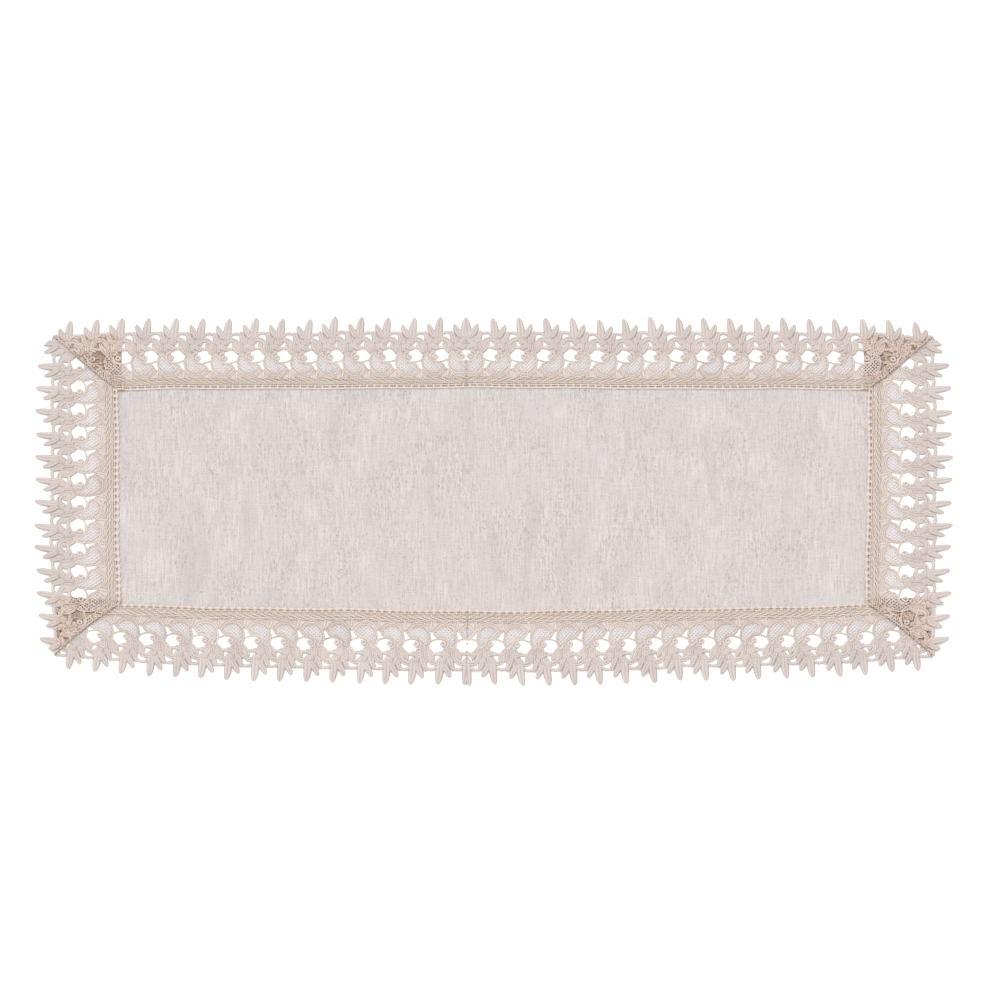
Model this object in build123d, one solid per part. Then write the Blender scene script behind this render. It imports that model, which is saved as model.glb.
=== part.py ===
from build123d import *
import os

os.makedirs("parts", exist_ok=True)

# Overall size of the runner, laid flat, in millimetres
LENGTH = 850.0
WIDTH = 400.0

# Woven centre panel with its hem turned under
CLOTH = 0.5                 # one layer of cloth
HEM = 10.0                  # width of the turned hem
HEM_THICK = 2 * CLOTH       # the hem is two layers

# Guipure lace border, sewn on top of the hem
LACE_WIDTH = 75.0           # from the header's inner edge to the large leaf tips
LACE = 1.2                  # thickness of the lace
PITCH = 24.5                # one leaf spray to the next
HEADER = 13.0               # braided band along the sewn edge
CORD = 1.7                  # width of a satin cord
RING = 3.5                  # outer radius of the small ring
RING_HOLE = 1.4
SCALLOP_BITE = 0.2          # how far a scallop's cord reaches into the header
DRAWN_PITCH = 24.5          # the pitch and width the spray's points are given at
DRAWN_WIDTH = 75.0
SEAT_GAP = 0.2              # between the hem's edge and the lace lying beside it

# Where the two mirrored lengths of lace meet, and how the sprays are spaced from there
JOIN_X = -24.5              # the butt joins on both long sides
NORTH_PHASE = 18.1          # motif position at the north join
SOUTH_PHASE = 16.2          # motif position at the south join
SIDE_PHASE = -19.1          # motif origin on the short sides, along Y

# Sewing thread
THREAD = 0.6                # width of a stitch
THREAD_THICK = 0.3          # how far it stands above the lace
STITCH = 4.0                # length of one header stitch
STITCH_PITCH = 6.9          # one header stitch per header bead
SEAM_LINE = 5.4             # header seam, from the lace's inner edge
ZIGZAG_STEP = 2.0
ZIGZAG_SWING = 1.3
SEAM_REACH = 55.0           # how far out the corner and butt seams run
SEAM_INSET = 1.9            # corner seam line, from the fold's edge

# Derived sizes
IN_X = LENGTH / 2 - LACE_WIDTH
IN_Y = WIDTH / 2 - LACE_WIDTH
HEM_X = IN_X + HEM
HEM_Y = IN_Y + HEM
LOW_TOP = LACE
HIGH_TOP = HEM_THICK + LACE


def at(u, v):
    """A point of the spray: u runs along the tape and v outwards from its sewn edge."""
    return Vector(u * PITCH / DRAWN_PITCH, v * LACE_WIDTH / DRAWN_WIDTH)


def leaf(base, tip, width):
    """A pointed leaf: two arcs that meet at its base and at its tip."""
    middle = (base + tip) / 2
    along = tip - base
    across = Vector(-along.Y, along.X).normalized() * (width / 2)
    left = ThreePointArc(base, middle + across, tip)
    right = ThreePointArc(tip, middle - across, base)
    return make_face([left, right])


def cord(start, middle, end):
    """A flat cord of constant width along an arc."""
    return trace(ThreePointArc(start, middle, end), CORD)


def paisley():
    """The comma-shaped net field, bulging towards the header."""
    back = ThreePointArc(at(3.3, 37.5), at(0.2, 27.0), at(9.3, 16.1))
    belly = ThreePointArc(at(9.3, 16.1), at(17.0, 18.0), at(19.9, 24.9))
    top = ThreePointArc(at(19.9, 24.9), at(16.2, 28.4), at(11.0, 29.2))
    throat = ThreePointArc(at(11.0, 29.2), at(7.6, 32.4), at(6.4, 37.5))
    close = Line(at(6.4, 37.5), at(3.3, 37.5))
    return make_face([back, belly, top, throat, close])


def stem():
    """The stalk that carries the outer leaves."""
    left = ThreePointArc(at(2.0, 36.5), at(7.6, 46.5), at(12.3, 58.5))
    top = Line(at(12.3, 58.5), at(18.4, 58.5))
    right = ThreePointArc(at(18.4, 58.5), at(15.2, 47.0), at(10.0, 36.5))
    close = Line(at(10.0, 36.5), at(2.0, 36.5))
    return make_face([left, top, right, close])


def scallop():
    """The cord that hangs the spray from the header's outer edge."""
    bottom = Vector(at(12.4, 0).X, HEADER - SCALLOP_BITE)
    return cord(at(2.2, 20.2), bottom, at(27.2, 21.4))


def motif():
    """One spray of the lace."""
    ring = Pos(at(13.3, 32.5)) * Circle(RING)
    eye = Pos(at(13.3, 32.5)) * Circle(RING_HOLE)
    parts = [
        paisley(),
        stem(),
        scallop(),
        ring,
        cord(at(11.6, 29.3), at(16.9, 28.6), at(25.4, 30.2)),
        cord(at(14.2, 49.6), at(21.6, 52.9), at(26.6, 46.5)),
        cord(at(26.2, 60.2), at(30.6, 58.6), at(34.2, 50.5)),
        leaf(at(12.6, 39.6), at(22.8, 45.0), 3.2),
        leaf(at(3.0, 35.8), at(-3.0, 49.1), 4.4),
        leaf(at(8.6, 46.4), at(3.0, 57.6), 4.2),
        leaf(at(14.0, 55.4), at(6.6, 67.6), 4.8),
        leaf(at(15.3, 54.0), at(17.7, DRAWN_WIDTH), 6.8),
        leaf(at(16.4, 56.2), at(27.6, 60.4), 3.6),
    ]
    return Sketch() + parts - eye


MOTIF = motif()


def tape(low, high, origin):
    """A flat length of lace along u from low to high, with one motif starting at origin."""
    first = int((low - origin) // PITCH) - 1
    last = int((high - origin) // PITCH) + 1
    sprays = [Pos(origin + PITCH * step, 0) * MOTIF for step in range(first, last + 1)]
    band = Pos((low + high) / 2, HEADER / 2) * Rectangle(high - low, HEADER)
    return Sketch() + ([band] + sprays)


def corner_triangle(side_x, side_y):
    """Where the mitre fold lies double: on the long side at the north, the short side at the south."""
    inner = (side_x * IN_X, side_y * IN_Y)
    outer = (side_x * LENGTH / 2, side_y * WIDTH / 2)
    if side_y > 0:
        third = (inner[0], outer[1])
    else:
        third = (outer[0], inner[1])
    return make_face(Polyline(inner, outer, third, close=True))


def levels():
    """The space the lace lies in: low on the table, stepping up over the hem and the corner folds."""
    sheet = Rectangle(LENGTH, WIDTH)
    seat = Rectangle(2 * (HEM_X + SEAT_GAP), 2 * (HEM_Y + SEAT_GAP))
    folds = [corner_triangle(x, y) for x in (-1, 1) for y in (-1, 1)]
    raised = Sketch() + ([seat] + folds)
    low = extrude(sheet - raised, LOW_TOP)
    high = Pos(0, 0, HEM_THICK) * extrude(raised - Rectangle(2 * IN_X, 2 * IN_Y), LACE)
    return low + high


LEVELS = levels()


def largest(shape):
    """The main solid, without the crumbs a mitre cut leaves of a leaf."""
    return max(shape.solids(), key=lambda solid: solid.volume)


def run(face, outline):
    """One side's lace, cut to its outline and laid over the hem and the folds."""
    flat = face & make_face(Polyline(*outline, close=True))
    return largest(extrude(flat, HIGH_TOP) & LEVELS)


def north_tape(side):
    """The long side's tape at the north, in place: side is -1 west of the join and 1 east of it."""
    face = tape(-LENGTH / 2, JOIN_X, JOIN_X - NORTH_PHASE)
    if side > 0:
        face = tape(2 * JOIN_X - LENGTH / 2, JOIN_X, JOIN_X - NORTH_PHASE)
        face = Pos(2 * JOIN_X, 0) * mirror(face, Plane.YZ)
    return Pos(0, IN_Y) * face


def south_tape(side):
    """The long side's tape at the south, in place."""
    start = -JOIN_X
    reach = LENGTH / 2
    if side > 0:
        reach = LENGTH / 2 - 2 * JOIN_X
    face = Rot(0, 0, 180) * tape(start, reach, start - SOUTH_PHASE)
    if side > 0:
        face = Pos(2 * JOIN_X, 0) * mirror(face, Plane.YZ)
    return Pos(0, -IN_Y) * face


def side_tape(side):
    """The short side's tape, in place."""
    face = Rot(0, 0, 90) * tape(-WIDTH / 2, WIDTH / 2, SIDE_PHASE)
    face = Pos(-IN_X, 0) * face
    if side > 0:
        face = mirror(face, Plane.YZ)
    return face


def long_outline(side_x, side_y):
    """The mitred outline of half a long side."""
    return [
        (JOIN_X, side_y * IN_Y),
        (JOIN_X, side_y * WIDTH / 2),
        (side_x * LENGTH / 2, side_y * WIDTH / 2),
        (side_x * IN_X, side_y * IN_Y),
    ]


def short_outline(side):
    """The mitred outline of a short side."""
    return [
        (side * IN_X, IN_Y),
        (side * LENGTH / 2, WIDTH / 2),
        (side * LENGTH / 2, -WIDTH / 2),
        (side * IN_X, -IN_Y),
    ]


def fold_layer(face, side_x, side_y):
    """The layer of lace folded away under a mitre, beside the hem."""
    seat = Rectangle(2 * (HEM_X + SEAT_GAP), 2 * (HEM_Y + SEAT_GAP))
    flat = face & (corner_triangle(side_x, side_y) - seat)
    return largest(extrude(flat, HEM_THICK))


def centre_panel():
    """The woven cloth: one layer thick, and two along the turned hem."""
    sheet = extrude(Rectangle(2 * HEM_X, 2 * HEM_Y), HEM_THICK)
    well = Pos(0, 0, CLOTH) * extrude(Rectangle(2 * IN_X, 2 * IN_Y), CLOTH)
    return sheet - well


def header_stitches(length):
    """A straight row of stitches along X, centred."""
    count = int(length // STITCH_PITCH)
    stitch = Box(STITCH, THREAD, THREAD_THICK, align=(Align.CENTER, Align.CENTER, Align.MIN))
    first = -(count - 1) / 2 * STITCH_PITCH
    return [Pos(first + STITCH_PITCH * step, 0, HIGH_TOP) * stitch for step in range(count)]


def zigzag(start, end, base):
    """A continuous zigzag seam from start to end, lying at height base."""
    begin = Vector(*start)
    along = Vector(*end) - begin
    count = int(along.length // ZIGZAG_STEP)
    across = Vector(-along.Y, along.X).normalized() * ZIGZAG_SWING
    points = [begin + along * (step / count) + across * (-1) ** step for step in range(count + 1)]
    return Pos(0, 0, base) * extrude(trace(Polyline(*points), THREAD), THREAD_THICK)


def corner_seam(side_x, side_y):
    """The seam along a mitre, on the raised side of the fold."""
    shift_x = 0.0
    shift_y = 0.0
    if side_y > 0:
        shift_x = -side_x * SEAM_INSET * 2 ** 0.5
    else:
        shift_y = -side_y * SEAM_INSET * 2 ** 0.5
    margin = 2 * ZIGZAG_SWING
    start = (side_x * (IN_X + margin) + shift_x, side_y * (IN_Y + margin) + shift_y)
    end = (side_x * (IN_X + SEAM_REACH) + shift_x, side_y * (IN_Y + SEAM_REACH) + shift_y)
    return zigzag(start, end, HIGH_TOP)


def butt_seam(side_y):
    """The seam where the two mirrored lengths of lace meet, over the hem and then beside it."""
    clear = IN_Y + SEAM_LINE + ZIGZAG_SWING
    over_hem = zigzag((JOIN_X, side_y * clear), (JOIN_X, side_y * (HEM_Y - 1)), HIGH_TOP)
    beside = zigzag((JOIN_X, side_y * (HEM_Y + 1)), (JOIN_X, side_y * (IN_Y + SEAM_REACH)), LOW_TOP)
    return [over_hem, beside]


def group(shapes):
    """Several solids kept together under one name."""
    return Compound(children=[solid for shape in shapes for solid in shape.solids()])


NODES = {"centre_panel": centre_panel()}
SIDES = {"west": -1, "east": 1}
ENDS = {"north": 1, "south": -1}

for name, side in SIDES.items():
    letter = name[0]
    north = north_tape(side)
    south = south_tape(side)
    short = side_tape(side)
    NODES["lace_north_" + name] = run(north, long_outline(side, 1))
    NODES["lace_south_" + name] = run(south, long_outline(side, -1))
    NODES["lace_" + name] = run(short, short_outline(side))
    NODES["lace_fold_n" + letter] = fold_layer(Pos(PITCH / 2, 0) * north, side, 1)
    NODES["lace_fold_s" + letter] = fold_layer(Pos(0, PITCH / 2) * short, side, -1)
    NODES["mitre_seam_n" + letter] = corner_seam(side, 1)
    NODES["mitre_seam_s" + letter] = corner_seam(side, -1)
    row = [Rot(0, 0, 90) * stitch for stitch in header_stitches(2 * IN_Y)]
    NODES["header_seam_" + name] = group([Pos(side * (IN_X + SEAM_LINE), 0) * stitch for stitch in row])

for name, side in ENDS.items():
    row = header_stitches(2 * IN_X)
    NODES["header_seam_" + name] = group([Pos(0, side * (IN_Y + SEAM_LINE)) * stitch for stitch in row])
    NODES["butt_seam_" + name] = group(butt_seam(side))

for node, shape in NODES.items():
    export_step(shape, "parts/" + node + ".step")
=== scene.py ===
import math

import bmesh
import bpy
import numpy as np
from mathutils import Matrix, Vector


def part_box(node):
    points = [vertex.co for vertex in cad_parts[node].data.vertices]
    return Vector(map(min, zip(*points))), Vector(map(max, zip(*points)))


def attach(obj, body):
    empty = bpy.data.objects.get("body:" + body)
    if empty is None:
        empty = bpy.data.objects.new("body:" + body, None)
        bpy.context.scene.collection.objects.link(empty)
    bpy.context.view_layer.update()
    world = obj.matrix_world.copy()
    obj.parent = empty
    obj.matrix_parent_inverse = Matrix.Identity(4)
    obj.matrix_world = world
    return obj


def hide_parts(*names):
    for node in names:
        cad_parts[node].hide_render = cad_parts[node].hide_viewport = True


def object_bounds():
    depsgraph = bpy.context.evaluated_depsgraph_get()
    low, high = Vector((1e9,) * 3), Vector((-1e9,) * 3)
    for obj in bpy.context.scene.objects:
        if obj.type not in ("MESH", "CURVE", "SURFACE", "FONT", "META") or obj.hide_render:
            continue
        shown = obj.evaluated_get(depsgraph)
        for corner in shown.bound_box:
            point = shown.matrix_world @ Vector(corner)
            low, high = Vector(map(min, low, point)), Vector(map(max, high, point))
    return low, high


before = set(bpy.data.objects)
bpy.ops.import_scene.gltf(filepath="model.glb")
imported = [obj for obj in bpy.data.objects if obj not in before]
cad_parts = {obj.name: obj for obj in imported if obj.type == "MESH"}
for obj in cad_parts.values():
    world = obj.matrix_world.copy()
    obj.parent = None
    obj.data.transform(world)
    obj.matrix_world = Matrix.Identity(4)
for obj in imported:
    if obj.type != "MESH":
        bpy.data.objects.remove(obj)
CAD_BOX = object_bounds()
MM = 0.001

# ------------------------------------------------------------------ sizes from the frame, in millimetres
PANEL_HIGH = np.array(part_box("centre_panel")[1]) / MM
HALF_X = CAD_BOX[1][0] / MM
HALF_Y = CAD_BOX[1][1] / MM
JOIN_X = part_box("lace_north_west")[1][0] / MM     # where the two mirrored lengths of lace meet
HEM = 10.0
HEM_X, HEM_Y = PANEL_HIGH[0], PANEL_HIGH[1]
IN_X, IN_Y = HEM_X - HEM, HEM_Y - HEM
LACE_WIDTH = HALF_Y - IN_Y
HEM_THICK = PANEL_HIGH[2]
CLOTH = HEM_THICK / 2

# ------------------------------------------------------------------ the lace's own sizes, in millimetres
PITCH = 24.5              # one leaf spray to the next
NORTH_PHASE = 18.1        # motif position at the north join
SOUTH_PHASE = 16.2        # motif position at the south join
SIDE_PITCH = 24.87        # one spray to the next along the short sides, where the lace is stretched
SIDE_START = -20.8        # where the short sides' spray count starts
BEAD_PITCH = 6.9          # beads and eyelets of the header
HEADER = 12.6             # height of the header band
CORD_HIGH = 1.0           # how far a satin cord stands up
LEAF_HIGH = 1.35
FOLD_LIFT = 1.15          # what one folded layer lifts the layer above it
FOLD_TRIM = 56.0          # the folded layer is trimmed below the leaf tips
FOLD_OVER = 5.5           # how far the folded layer reaches past the corner of the opening
FOLD_SQUASH = 0.75        # how far a folded layer is pressed flat
LACE_TOP = 1.4
BUNDLE = 2.1              # length of one bundle of stitches along a cord
BUNDLE_SWELL = 0.18
SATIN_STITCH = 0.62       # one stitch to the next along a cord
NET_PITCH = 2.5           # threads of the paisley's net
NET_THREAD = 1.15
CURLS = 340               # loose cords gathered in a folded layer
CURL_STEP = 3.6           # length of one of a curl's bends
SHADE_ROW_PITCH = 6.0       # rows of dark plates behind a folded layer: painted shade between its gathered cords
TUCK = 1.6                # how far the lower tape runs on under the mitre
CORNER_REACH = 58.8       # how far out along a mitre the lace goes
END_SPARE = 2.0           # length built past a cut end
FOLD_SPARE = 8.0
SHORT_SPARE = 38.0        # the same at the far end of the short sides, whose sprays are stretched

# Tones along the cords: -1 net, 0 leaf, 1 header, 2 the brown of painted shade in eyelets and gaps; tones
# between 1 and 2 take in part of it
OUTLINE = 1.22            # the darker cord round the paisleys
EYELET_SHADE = 1.55             # painted shade at the bottom of the eyelets

# ------------------------------------------------------------------ threads and cloth, in millimetres
SEAM_LINE = 5.4           # the header seam, from the lace's inner edge
SEAM_TOP = 1.2            # how high the header seam lies on the sunk header
STITCH = 3.6
MITRE_SEAM = (3, 52)      # where a corner's seam starts and ends, from the corner of the opening
MITRE_INSET = 1.3
MITRE_TOP = 1.75
BUTT_SEAM = (1, 52)
CLOTH_STEP = 3.0
BEND = 0.24               # radius of the hem's fold, on the middle of the cloth
THICK = 0.42              # the woven cloth itself
LINEN_WARP, LINEN_WEFT = 0.62, 0.68     # one yarn to the next

SEED = 7
random = np.random.default_rng(SEED)


# ------------------------------------------------------------------ where the soft sheet lies
def smooth(low, high, value):
    """0 below low, 1 above high, and a soft step between them."""
    share = np.clip((value - low) / (high - low), 0, 1)
    return share * share * (3 - 2 * share)


# Soft pressed creases left in the cloth: place along X, height and half width
CREASES = (
    (-292, 0.5, 13), (-174, 0.8, 9), (-142, 0.9, 13), (-17, 0.6, 10),
    (66, 0.35, 14), (141, 0.9, 10), (262, 0.5, 15),
)
CORNER_X = 385            # where the corners' own pull is given


def ripple(x, y):
    """How far the sheet lifts off the table, in soft creases that run across the runner."""
    lift = 0.25 + 0.2 * np.sin(x / 31 + 0.8 * np.sin(y / 57)) * np.cos(y / 43 + 1.3)
    for place, height, width in CREASES:
        line = place + 5 * np.sin(y / 70 + place)
        lift = lift + height * np.exp(-((x - line) / width) ** 2) * (0.7 + 0.3 * np.cos(y / 60 + place))
    return np.maximum(lift, 0)


def edge_wave(x, y):
    """The lace's free edge lifts a little here and there."""
    out = np.maximum(np.abs(x) - IN_X, np.abs(y) - IN_Y) / LACE_WIDTH
    wave = 0.5 + 0.5 * np.sin(x / 17 + 1.1 * np.sin(y / 23)) * np.sin(y / 19 + 0.6 * np.sin(x / 29))
    return 0.7 * np.clip(out, 0, 1) ** 2 * wave


def on_hem(x, y):
    """Full height over the hem, dropping to the table just outside it."""
    beyond = np.maximum(np.abs(x) - HEM_X, np.abs(y) - HEM_Y)
    return HEM_THICK * (1 - smooth(-0.3, 3.5, beyond))


def warp(points):
    """Takes flat points in millimetres to where the washed and pressed runner really lies."""
    x, y, z = points.T
    size_x, size_y = np.abs(x), np.abs(y)
    outwards = (x / CORNER_X) ** 2
    # the long sides bow, and the south corners are drawn in
    across = 0.7 - 4.8 * np.sin(math.pi * y / 240)
    corner = (2.5 - 0.05 * y + 0.00006 * y * y) * outwards
    off_corner = 1 - 0.7 * smooth(IN_X, IN_X + 40, size_x)
    north_edge = 3.4 * outwards * smooth(IN_Y + 25, HALF_Y - 5, y) * off_corner
    south = smooth(IN_Y + 5, HALF_Y - 5, -y)
    south_edge = 1.3 * smooth(IN_Y - 65, IN_Y, -y) * (1 - south) * (1 - outwards) - 2.5 * south
    # the short sides' leaf tips curl in, and their sewn edge is pulled in by its seam
    beside = smooth(IN_X + 32, HALF_X, size_x)
    tips = (2.7 * (y / 172) ** 2 - 0.8 - 1.5 * (x > 0) - 0.9 * smooth(0, 60, y)) * beside
    inside = 1 - smooth(IN_Y - 5, IN_Y + 25, size_y)
    by_seam = smooth(IN_X - 110, IN_X - 8, size_x) * (1 - smooth(IN_X + 14, IN_X + 48, size_x))
    sewn = (2.3 + 2.2 * smooth(0, IN_Y, -y)) * by_seam
    pull = tips + sewn * inside
    wobble_x = 0.4 * np.sin(y / 37 + x / 61) + 0.3 * np.sin(y / 13 + x / 90)
    wobble_y = 0.5 * np.sin(x / 47 + y / 80) + 0.35 * np.sin(x / 15 + y / 50)
    return np.column_stack([
        x - np.sign(x) * pull + wobble_x,
        y + across + corner + north_edge + south_edge + wobble_y,
        z + ripple(x, y) + edge_wave(x, y),
    ])


# ------------------------------------------------------------------ mesh building
class Mesh:
    """Vertices, quads and triangles, with each vertex's place along and across its stitching."""

    def __init__(self):
        self.points, self.stitch, self.tone = [], [], []
        self.quads, self.tris = [], []
        self.count = 0

    def add(self, points, stitch, tone, quads, tris):
        self.points.append(np.asarray(points, float))
        self.stitch.append(np.asarray(stitch, float))
        self.tone.append(np.broadcast_to(np.asarray(tone, float), (len(points),)))
        if len(quads):
            self.quads.append(np.asarray(quads) + self.count)
        if len(tris):
            self.tris.append(np.asarray(tris) + self.count)
        self.count += len(points)

    def merged(self):
        """The whole mesh as plain arrays."""
        quads = np.concatenate(self.quads) if self.quads else np.zeros((0, 4), int)
        tris = np.concatenate(self.tris) if self.tris else np.zeros((0, 3), int)
        points, stitch, tone = (np.concatenate(parts) for parts in (self.points, self.stitch, self.tone))
        return points, stitch, tone, quads, tris


def ring_section(sides):
    """A rounded cord: (across, up) round its edge, with up from 0 to 1."""
    turn = np.arange(sides) * 2 * math.pi / sides
    return np.column_stack([np.cos(turn), 0.5 + 0.5 * np.sin(turn)])


CORD_SECTION = ring_section(8)
THIN_SECTION = ring_section(5)
PLATE_SECTION = np.array([(-1, 0), (1, 0), (1, 1), (-1, 1)], float)
GROUND_SECTION = np.array([
    (-1, 0), (1, 0), (1, 0.7), (0.8, 1), (0.55, 0.6), (0.3, 1),
    (0, 0.6), (-0.3, 1), (-0.55, 0.6), (-0.8, 1), (-1, 0.7),
])
LEAF_SECTION = np.array([
    (-1, 0.15), (-0.5, 0), (0.5, 0), (1, 0.15), (0.84, 0.55), (0.55, 0.95),
    (0.28, 1), (0, 0.5), (-0.28, 1), (-0.55, 0.95), (-0.84, 0.55),
], float)


def curve(points, count, closed=False):
    """A smooth line through a few points, as count points at even steps."""
    points = np.asarray(points, float)
    if closed:
        points = np.vstack([points[-1], points, points[0], points[1]])
    else:
        points = np.vstack([2 * points[0] - points[1], points, 2 * points[-1] - points[-2]])
    spans = len(points) - 3
    place = np.linspace(0, spans, count, endpoint=not closed)
    index = np.minimum(place.astype(int), spans - 1)
    t = (place - index)[:, None]
    before, start, end, after = (points[index + step] for step in range(4))
    return 0.5 * (2 * start + (end - before) * t + (2 * before - 5 * start + 4 * end - after) * t ** 2
                  + (3 * start - before - 3 * end + after) * t ** 3)


def sweep(mesh, path, width, height, section, tone, base=0.0, closed=False):
    """Sweeps a section along a flat path: width and height may change from point to point."""
    path = np.asarray(path, float)
    rings, sides = len(path), len(section)
    width = np.broadcast_to(np.asarray(width, float), (rings,))
    height = np.broadcast_to(np.asarray(height, float), (rings,))
    base = np.broadcast_to(np.asarray(base, float), (rings,))
    if closed:
        ahead = np.roll(path, -1, 0) - np.roll(path, 1, 0)
    else:
        ahead = np.gradient(path, axis=0)
    ahead /= np.linalg.norm(ahead, axis=1)[:, None] + 1e-9
    side = np.column_stack([-ahead[:, 1], ahead[:, 0]])
    steps = np.linalg.norm(np.diff(path, axis=0), axis=1)
    along = np.concatenate([[0], np.cumsum(steps)])
    across = section[None, :, 0] * width[:, None] / 2
    flat = path[:, None, :] + side[:, None, :] * across[:, :, None]
    up = base[:, None] + section[None, :, 1] * height[:, None]
    points = np.dstack([flat, up]).reshape(-1, 3)
    stitch = np.dstack([
        np.broadcast_to(along[:, None], (rings, sides)), across,
        np.broadcast_to(section[None, :, 1], (rings, sides)),
    ]).reshape(-1, 3)
    first = np.arange(rings if closed else rings - 1)[:, None] * sides + np.arange(sides)[None, :]
    following = np.roll(np.arange(sides), -1)[None, :] - np.arange(sides)[None, :] + first
    jump = rings * sides
    around = [first, following, (following + sides) % jump, (first + sides) % jump]
    quads = np.stack(around, axis=-1).reshape(-1, 4)
    tris = []
    if not closed:
        middle = len(points)
        for ring, order in ((0, 1), (rings - 1, -1)):
            corners = ring * sides + np.arange(sides)
            pairs = np.column_stack([np.full(sides, middle), np.roll(corners, -1), corners])
            tris.append(pairs[:, ::order] if order < 0 else pairs)
            centre = points[corners].mean(0)
            points = np.vstack([points, centre])
            stitch = np.vstack([stitch, stitch[corners].mean(0)])
            middle += 1
        tris = np.concatenate(tris)
    mesh.add(points, stitch, tone, quads, tris)


def cord(mesh, points, width, count, height, tone, section=CORD_SECTION, base=0.1):
    """A satin-stitched cord through a few points, swelling a little at each bundle of stitches."""
    path = curve(points, 2 * count)
    steps = np.linalg.norm(np.diff(path, axis=0), axis=1)
    along = np.concatenate([[0], np.cumsum(steps)])
    swell = 1 + BUNDLE_SWELL * np.sin(2 * math.pi * along / BUNDLE)
    sweep(mesh, path, width * swell, height * swell, section, tone, base)


def leaf(mesh, base_at, tip_at, width, bend, base, count, tone):
    """A padded satin leaf with a sunk midrib, bent a little to one side."""
    start, end = np.array(base_at, float), np.array(tip_at, float)
    across = np.array([-(end - start)[1], (end - start)[0]])
    across /= np.linalg.norm(across)
    share = np.sin(np.linspace(0, math.pi / 2, count))
    path = start + (end - start) * share[:, None] + across * (4 * share * (1 - share) * bend)[:, None]
    shape = np.sin(math.pi * (0.12 + 0.88 * share) ** 0.98) ** 0.38
    sweep(mesh, path, width * shape + 0.1, LEAF_HIGH * (0.5 + 0.5 * shape), LEAF_SECTION, tone, base)


# ------------------------------------------------------------------ one spray of the lace
# Its points are given along the tape and outwards from the sewn edge, in millimetres
PAISLEY = (
    (5.0, 39.4), (2.2, 34.6), (1.3, 28.4), (2.7, 22.2), (6.1, 18.0), (10.5, 16.2), (15.1, 16.3),
    (19.6, 18.4), (22.2, 21.6), (21.6, 25.4), (17.2, 28.0), (12.5, 28.8), (9.7, 30.8), (8.3, 34.6),
)
RING_AT, RING_RADIUS = (13.8, 34.0), 1.85

# Cords: points, width, number of steps, height and tone
SCALLOPS = (
    (((1.4, 21.4), (4.0, 16.6), (7.4, 13.9), (11.6, 12.9), (16.6, 13.5), (20.8, 16.4), (24.2, 21.4)),
     1.4, 16, CORD_HIGH, 1.15),
    (((2.2, 22.6), (5.0, 17.6), (8.2, 15.2), (11.6, 14.4), (15.8, 15.0), (19.6, 17.6), (22.4, 22.4)),
     1.2, 16, CORD_HIGH, 0.9),
)
JOINING_CORDS = (
    (((0.2, 12.2), (0.6, 15.4), (1.4, 19.6)), 1.8, 6, 0.9, 0.9),
    (((20.9, 26.2), (23.0, 22.6), (25.8, 19.8)), 1.5, 6, CORD_HIGH, OUTLINE),
    (((9.6, 33.0), (12.0, 30.2), (16.2, 28.9), (20.6, 29.2), (25.6, 31.2)), 1.5, 12, CORD_HIGH, OUTLINE),
    (((10.2, 32.2), (9.6, 35.4), (11.0, 38.0), (13.6, 38.8)), 1.6, 9, CORD_HIGH, 0.35),
)
BRANCHES = (
    (((12.6, 47.6), (15.6, 49.9), (19.4, 51.5), (22.8, 51.0), (25.3, 49.0), (26.6, 46.0), (26.9, 42.6)),
     2.9, 16, CORD_HIGH, 0.1),
    (((14.0, 50.2), (17.2, 52.6), (20.6, 53.8), (24.2, 53.0), (27.0, 50.4), (28.2, 46.8)),
     1.9, 14, 0.8, 0.2),
    (((17.6, 55.0), (20.8, 57.6), (24.6, 58.8), (28.0, 58.0), (30.4, 55.8), (31.8, 52.6)),
     3.0, 14, CORD_HIGH, 0.1),
    (((12.2, 45.0), (16.0, 44.2), (19.6, 43.3), (24.0, 44.4)), 3.0, 9, CORD_HIGH, 0.3),
)

# Stitched grounds between the scallops: points, width at both ends and tone
FANS = (
    (((-3.4, 12.6), (-2.6, 16.4), (-1.0, 20.4)), 6.4, 1.8, -0.6),
    (((4.4, 12.4), (2.9, 15.2), (1.4, 18.6)), 4.4, 1.2, 0.3),
)

# The spray's body: its line, and its width at even places along it
BODY = ((8.0, 37.4), (8.6, 41.6), (8.8, 45.6), (10.2, 49.6), (12.2, 53.0), (12.8, 56.0), (13.6, 60.0))
BODY_PLACES = (0, 0.17, 0.33, 0.5, 0.67, 0.83, 1)
BODY_WIDTHS = (10.0, 12.4, 12.6, 14.6, 16.4, 14.6, 7.0)

# Petals and leaves: base, tip, width, bend, height off the ground, number of steps and tone
LEAVES = (
    ((3.2, 38.2), (-2.7, 49.6), 5.4, 0.5, 0.08, 12, 0.2),
    ((5.6, 39.4), (4.2, 52.0), 3.9, 0.3, 0.08, 12, 0.0),
    ((8.8, 39.4), (8.8, 52.4), 4.1, 0.0, 0.2, 12, 0.0),
    ((11.8, 42.4), (13.4, 53.6), 3.9, 0.2, 0.08, 12, 0.0),
    ((8.6, 46.0), (17.4, 41.2), 5.6, 0.6, 0.3, 12, 0.0),
    ((13.8, 47.0), (19.4, 56.0), 4.0, 0.3, 0.1, 12, 0.0),
    ((8.8, 47.4), (4.5, 60.4), 5.3, 0.5, 0.35, 12, 0.0),
    ((15.0, 50.6), (13.2, 61.0), 3.4, 0.0, 0.2, 12, 0.0),
    ((13.8, 53.4), (7.2, 67.2), 5.8, 0.6, 0.4, 12, -0.05),
    ((16.6, 52.4), (19.1, 74.0), 7.1, 0.7, 0.35, 15, -0.05),
)


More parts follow.
